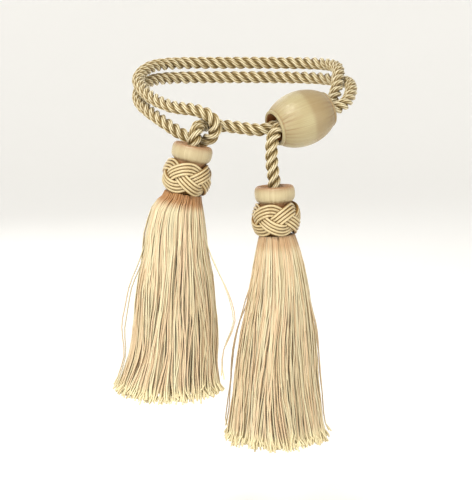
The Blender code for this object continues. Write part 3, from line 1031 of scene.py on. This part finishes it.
class TIEBACK_OT_collars(bpy.types.Operator):
    """Braid the ring of cords round each neck"""

    bl_idname = "tieback.collars"
    bl_label = "Collars"

    bights, leads = 5, 3
    cords = (-1.5, -0.5, 0.5, 1.5)  # places of a lead's cords across it, in cords
    closeness = 0.97  # how near the cords lie, against their diameter
    crossing = 1.1  # how far a lead rises over another
    middle = -21.2  # of the ring, from the top of the head
    core_depth = 1.3  # of the band under the braid

    def execute(self, context):
        wanted = context.scene.tieback_collar
        finish = yarn_material("collar_satin_cord", wanted.light, wanted.dark, 0.15)
        # the band under the braid is all painted shade, from the groove shade where it faces out to
        # the darker under colour
        core_finish = yarn_material("collar_core_satin", wanted.dark, wanted.under)
        tree = tree_called("Round cord", round_cord_tree)
        for side, tassel in TASSELS.items():
            turn, top = head_frame(tassel)
            lines, outs = [], []
            for number in self.cords:
                line, out = self.cord_line(wanted, number, tassel["braid_turn"])
                lines.append((line @ turn.T + top) * MM)
                outs.append(out @ turn.T)
            braid = run_tree(
                f"collar_braid_{side}",
                tree,
                guide_mesh("braid_lines", lines, closed=True, outward=outs),
                cord_radius=wanted.cord / 2,
                material=finish,
            )
            dress(braid, "collar_cord", f"collar_{side}")
            core = placed(f"collar_core_{side}", self.core_mesh(wanted, turn, top))
            core.data.materials.append(core_finish)
            dress(core, "collar_cord")
        return {"FINISHED"}

    def barrel(self, wanted, height):
        """Radius under the braid, in millimetres, at a height from the ring's middle."""
        share = np.clip(np.abs(height) / (wanted.height / MM / 2), 0, 1)
        edge, mid = wanted.edge / MM, wanted.barrel / MM
        return mid - (mid - edge) * share**2.2

    def cord_line(self, wanted, number, braid_turn):
        """One of a lead's four cords, all the way round its three turns of the neck."""
        run = self.bights / self.leads
        theta = np.linspace(0, 2 * pi * self.leads, 480, endpoint=False)
        phase, swing = run * theta, wanted.swing / MM
        cord = wanted.cord / MM
        across = wanted.barrel / MM + cord / 2
        slope = -swing * run * np.sin(phase)
        long = np.hypot(across, slope)
        offset = number * cord * self.closeness
        height = swing * np.cos(phase) + offset * across / long
        angle = theta - offset * slope / long / across
        wave = -np.sin(2 * phase)
        lift = self.crossing * np.sign(wave) * np.abs(wave) ** 0.75
        radius = self.barrel(wanted, height) + cord / 2 + lift
        angle = angle + braid_turn
        out = np.stack([np.cos(angle), np.sin(angle), 0 * angle], axis=1)
        return out * radius[:, None] + np.outer(self.middle + height, (0, 0, 1)), out

    def core_mesh(self, wanted, turn, top):
        """The bound band that shows in the braid's small openings."""
        heights = np.linspace(1, -1, 15) * wanted.height / MM / 2
        radii = self.barrel(wanted, heights) - self.core_depth
        profile = [(radius, self.middle + h, 0.0, 0.0) for radius, h in zip(radii, heights)]
        return laid_cover(
            "collar_core", profile, threads=60, relief=0.25, pleats=0, seed=3, frame_of=(turn, top)
        )


# ---------------------------------------------------------------- skirts


def ripple(angle, drop):
    """Where a place on the skirt goes round and out, so that its locks wave together."""
    grown = np.minimum(1.0, drop / 60.0)
    turned_by = 0.07 * np.sin(3 * angle + drop / 31.0) + 0.03 * np.sin(8 * angle - drop / 23.0)
    pushed_by = 0.020 * np.sin(5 * angle + drop / 40.0) + 0.014 * np.sin(11 * angle + drop / 27.0)
    return angle + grown * turned_by, 1 + grown * pushed_by


def on_skirt(tassel, share, angle, drop):
    """Places on the unit disc, carried to their drop below the plug, and which way is out."""
    rows = np.array(tassel["skirt"])
    below = np.maximum(drop, 0.0)
    shift, half_width = smooth_through(rows[:, 0], rows[:, 1:], below).T
    angle, stretch = ripple(angle, below)
    reach = half_width * share * stretch
    depth = 1 + (SKIRT_DEPTH - 1) * np.minimum(1.0, below / 30.0)
    wide, deep, high = reach * np.cos(angle), reach * np.sin(angle) * depth, below - drop
    lean = tassel["lean"] * np.maximum(0.0, 1 - below / 25.0)
    leaned_x = wide * np.cos(lean) + high * np.sin(lean)
    leaned_z = high * np.cos(lean) - wide * np.sin(lean)
    points = np.stack([leaned_x + shift, deep, leaned_z - below], axis=1)
    plug = np.array(tassel["top"]) - PLUG_BOTTOM * head_axis(tassel)
    out = np.stack([np.cos(angle), np.sin(angle), 0 * angle], axis=1)
    return (points + plug) * MM, out


class TIEBACK_OT_skirts(bpy.types.Operator):
    """Hang the threads of each tassel's skirt"""

    bl_idname = "tieback.skirts"
    bl_label = "Skirts"

    # Rings of locks: share of the skirt's half width, number of locks.
    rings = ((0.93, 60), (0.83, 40), (0.67, 25), (0.46, 15), (0.21, 7))
    steps = (-1, 0, 0.02, 0.06, 0.12, 0.18, 0.25, 0.32, 0.39, 0.46, 0.53)
    late_steps = (0.6, 0.67, 0.74, 0.81, 0.87, 0.92, 0.95, 0.975, 1.0)
    root_rise = 4.0  # how far the locks go up into the collar

    def execute(self, context):
        wanted = context.scene.tieback_skirt
        tree = tree_called("Hanging threads", hanging_threads_tree)
        for seed, (side, tassel) in enumerate(TASSELS.items()):
            finish = skirt_material(f"skirt_satin_{side}", wanted, ROOT_SHADE[side])
            lines, outs = self.lock_lines(tassel, 20 + seed)
            skirt = run_tree(
                f"skirt_threads_{side}",
                tree,
                guide_mesh("lock_lines", lines, outward=outs),
                threads_in_a_lock=wanted.threads,
                thread_radius=wanted.thread / 2,
                flick=wanted.flick,
                seed=seed * 50 + 7,
                material=finish,
            )
            dress(skirt, "skirt_thread", f"skirt_{side}")
            lines, outs = self.stray_lines(tassel)
            strays = run_tree(
                f"stray_threads_{side}",
                tree,
                guide_mesh("stray_lines", lines, outward=outs),
                threads_in_a_lock=2,
                lock_width=0.0012,
                thread_radius=wanted.thread * 0.4,
                wave=0.0008,
                flick=wanted.flick,
                seed=seed * 50 + 9,
                material=finish,
            )
            dress(strays, "skirt_thread")
        return {"FINISHED"}

    def lock_lines(self, tassel, seed):
        """One guide line for each lock, drifting a little as it falls."""
        rng = np.random.default_rng(seed)
        steps = np.array(self.steps + self.late_steps)
        down = np.clip(steps, 0, 1)
        lines, outs = [], []
        for share, count in self.rings:
            start = rng.uniform(0, 2 * pi)
            for i in range(count):
                side = share * cos(start + 2 * pi * i / count)
                uneven = rng.uniform(-0.010, 0.016) - 0.03 * side**2
                length = tassel["skirt_length"] * (1 + uneven)
                drift = rng.uniform(0.4, 1.0) * np.sin(
                    2 * pi * down * rng.uniform(0.6, 1.5) + rng.uniform(0, 2 * pi)
                )
                lag = rng.uniform(-0.35, 0.35) * 2 * pi / count
                angle = start + 2 * pi * i / count + lag + 0.055 * drift * np.minimum(1, down * 4)
                own_share = share + rng.uniform(-0.03, 0.02) - 0.02 * drift * down
                drop = length * down
                drop[0] = -self.root_rise
                own_share = own_share * np.where(steps < 0, 0.9, 1.0)
                points, out = on_skirt(tassel, own_share, angle, drop)
                lines.append(points)
                outs.append(out)
        return lines, outs

    @staticmethod
    def stray_lines(tassel):
        """The few threads that hang clear of the skirt.

        Each starts inside the skirt's surface and is clear of it at a share of its length.
        """
        inside, moved_out, clear_at = 1.7, 3.0, 0.45
        rows = np.array(tassel["skirt"])
        lines, outs = [], []
        for around, bow, widest, length in tassel["strays"]:
            down = np.linspace(0, 1, 20)
            drop = length * down
            half_width = smooth_through(rows[:, 0], rows[:, 1:], drop)[:, 1]
            rise = np.where(down < widest, down / widest, (1 - down) / (1 - widest))
            clear = np.minimum(1, down / clear_at) ** 2 * moved_out - inside
            reach = half_width + clear + bow * np.sin(pi / 2 * rise) ** 5
            points, out = on_skirt(tassel, reach / half_width, radians(around) + 0 * drop, drop)
            lines.append(points)
            # the outward direction leans to the front, so the painted shade falls on the back and
            # sides of the stray threads
            outs.append(out * 0.4 + (0.0, -0.9, 0.0))
        return lines, outs


def skirt_material(name, wanted, root_shade):
    """Champagne rayon with painted shade at the threads' sides and where they leave the collar, pale
    at the cut ends.
    """
    material, graph, shader = new_material(name)
    satin_shader(shader, 0.4, 0.25)
    fibres, along, tone = fibre_bump(graph, shader, 0.3, fibres=4.0, per_metre=60.0)
    own = graph.eased(tone * 0.8 + fibres * 0.4, 0.15, 0.95, 0.6, 1.0)
    # painted shade at the sides of each thread, mixed with its random tone
    share = graph.eased(graph.attribute("facing"), -0.5, 0.7) * own
    hue = graph.noise(graph.combined(tone * 83.0, along * 1.5, 0.0), 1.0, 0.0)
    light = graph.mixed(graph.eased(hue, 0.4, 0.6), (*wanted.light, 1), (*wanted.rosy, 1))
    colour = graph.mixed(share, (*wanted.dark, 1), light)
    # painted shade where the threads leave the collar, stronger on the left tassel
    root = graph.eased(along, 0.09, 0.035) * root_shade
    colour = graph.mixed(root, colour, (*wanted.root, 1))
    tip = graph.eased(along, 0.9, 0.97) * 0.6
    colour = graph.mixed(tip, colour, (*wanted.tip, 1))
    link(graph, colour, shader, "Base Color")
    return material


# ---------------------------------------------------------------- stage


class TIEBACK_OT_stage(bpy.types.Operator):
    """Set the floor, the lights and the camera"""

    bl_idname = "tieback.stage"
    bl_label = "Stage"

    def execute(self, context):
        wanted = context.scene.tieback_stage
        low, high = CAD_BOX
        self.add_backdrop(wanted, low.z - wanted.drop)
        self.add_lights()
        self.add_world()
        self.add_camera(wanted, low, high)
        context.scene.view_settings.view_transform = "Standard"
        return {"FINISHED"}

    def add_backdrop(self, wanted, level):
        """A round floor that curves up into a wall on every side."""
        reach, curve, wall, sides = 2.4, 0.9, 2.6, 96
        profile = [(0.0, level), (reach, level)]
        for i in range(1, 13):
            angle = pi / 2 * i / 12
            profile.append((reach + curve * sin(angle), level + curve * (1 - cos(angle))))
        profile.append((reach + curve, level + wall))
        bm = bmesh.new()
        verts = [bm.verts.new((radius, 0, height)) for radius, height in profile]
        edges = [bm.edges.new(pair) for pair in zip(verts, verts[1:])]
        bmesh.ops.spin(
            bm, geom=verts + edges, axis=(0, 0, 1), cent=(0, 0, 0), angle=2 * pi, steps=sides
        )
        bmesh.ops.remove_doubles(bm, verts=bm.verts, dist=1e-5)
        bmesh.ops.recalc_face_normals(bm, faces=bm.faces)
        bm.faces.ensure_lookup_table()
        if bm.faces[0].normal.z < 0:
            bmesh.ops.reverse_faces(bm, faces=bm.faces)
        mesh = bpy.data.meshes.new("floor")
        bm.to_mesh(mesh)
        bm.free()
        mesh.shade_smooth()
        material, _, shader = new_material("pale_floor")
        shader.inputs["Base Color"].default_value = (*wanted.floor, 1)
        shader.inputs["Roughness"].default_value = 0.85
        shader.inputs["Emission Color"].default_value = (*wanted.floor, 1)
        shader.inputs["Emission Strength"].default_value = 0.16
        mesh.materials.append(material)
        placed("floor", mesh)

    def add_lights(self):
        """Rows of name, place, what it points at, size and power."""
        rows = (
            ("key", (-0.35, -0.95, 1.15), (0.0, -0.08, -0.11), 0.4, 19.0),
            ("front", (-0.75, -1.6, 0.1), (0.0, -0.08, -0.12), 0.7, 8.0),
            ("fill", (1.25, -0.95, 0.15), (0.0, -0.08, -0.12), 0.9, 4.0),
            ("back", (-0.5, 1.2, 0.6), (0.0, -0.05, -0.08), 0.7, 5.0),
        )
        for name, place, target, size, power in rows:
            lamp = bpy.data.lights.new(name, "AREA")
            lamp.size = size
            lamp.energy = power
            aimed(placed(name, lamp), place, Vector(target) - Vector(place))

    def add_world(self):
        world = bpy.data.worlds.new("studio")
        world.use_nodes = True
        background = world.node_tree.nodes["Background"]
        background.inputs["Color"].default_value = (1.0, 0.985, 0.965, 1.0)
        background.inputs["Strength"].default_value = 0.55
        bpy.context.scene.world = world

    def add_camera(self, wanted, low, high):
        lens, share = 135.0, 0.81
        camera = bpy.data.cameras.new("camera")
        camera.lens = lens
        camera.sensor_width = 36.0
        back = Vector(
            (
                sin(wanted.azimuth) * cos(wanted.elevation),
                -cos(wanted.azimuth) * cos(wanted.elevation),
                sin(wanted.elevation),
            )
        )
        tall = (high.z - low.z) * cos(wanted.elevation) + (high.y - low.y) * sin(wanted.elevation)
        half_angle = atan(camera.sensor_width / 2 / lens)
        distance = tall / 2 / share / tan(half_angle)
        camera.clip_start, camera.clip_end = 0.05, 50.0
        made = placed("camera", camera)
        aimed(made, (low + high) / 2 + back * distance, -back)
        bpy.context.scene.camera = made


# ---------------------------------------------------------------- panel and main


class TIEBACK_PT_panel(bpy.types.Panel):
    bl_label = "Curtain tieback"
    bl_idname = "TIEBACK_PT_panel"
    bl_space_type = "VIEW_3D"
    bl_region_type = "UI"
    bl_category = "Tieback"

    def draw(self, context):
        for operator in OPERATORS:
            self.layout.operator(operator.bl_idname)


SETTINGS = {
    "tieback_rope": TiebackRopeSettings,
    "tieback_collar": TiebackCollarSettings,
    "tieback_skirt": TiebackSkirtSettings,
    "tieback_cover": TiebackCoverSettings,
    "tieback_stage": TiebackStageSettings,
}
OPERATORS = (
    TIEBACK_OT_stage,
    TIEBACK_OT_rope,
    TIEBACK_OT_covers,
    TIEBACK_OT_collars,
    TIEBACK_OT_skirts,
)


def register():
    for name, settings in SETTINGS.items():
        bpy.utils.register_class(settings)
        setattr(bpy.types.Scene, name, PointerProperty(type=settings))
    for made in (*OPERATORS, TIEBACK_PT_panel):
        bpy.utils.register_class(made)


def unregister():
    for made in (TIEBACK_PT_panel, *reversed(OPERATORS)):
        bpy.utils.unregister_class(made)
    for name, settings in reversed(list(SETTINGS.items())):
        delattr(bpy.types.Scene, name)
        bpy.utils.unregister_class(settings)


def main():
    register()
    for operator in OPERATORS:
        group, name = operator.bl_idname.split(".")
        getattr(getattr(bpy.ops, group), name)()


if __name__ == "__main__":
    main()
